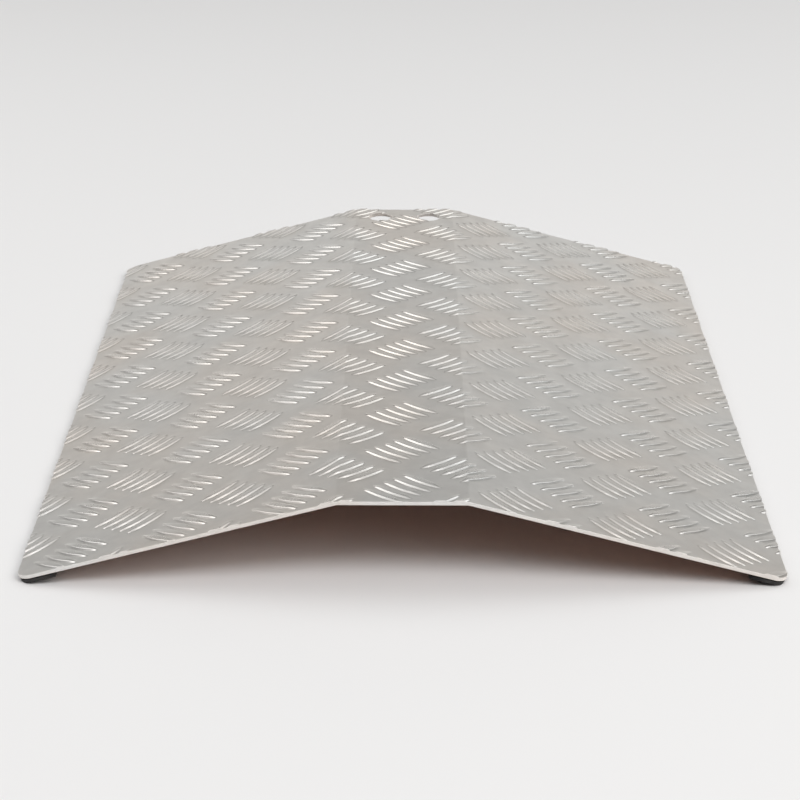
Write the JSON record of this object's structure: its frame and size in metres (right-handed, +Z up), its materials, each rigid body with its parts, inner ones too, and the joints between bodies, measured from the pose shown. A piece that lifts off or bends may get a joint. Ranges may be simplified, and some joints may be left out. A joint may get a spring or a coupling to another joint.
{
  "type": "threshold ramp",
  "caption": "Bent tread-plate bridging ramp with a flat top strip, a slope down each side, carrying holes and rubber toe strips.",
  "frame": {"origin": "on the floor, at the centre of the ramp's footprint", "axes": "+X across the ramp, the way the wheels travel; +Y along the bend lines, towards the carrying holes; +Z up"},
  "size_m": [0.5, 0.6, 0.0613],
  "materials": {
    "tread_plate": "satin mill finish, raised bars polished by rolling",
    "strip_rubber": "matte black",
    "tape_foam": "matte dark grey foam"
  },
  "bodies": {
    "root": {"deck_plate": "tread_plate", "left_toe_strip": "strip_rubber", "right_toe_strip": "strip_rubber", "left_strip_tape": "tape_foam", "right_strip_tape": "tape_foam"}
  },
  "joints": []
}
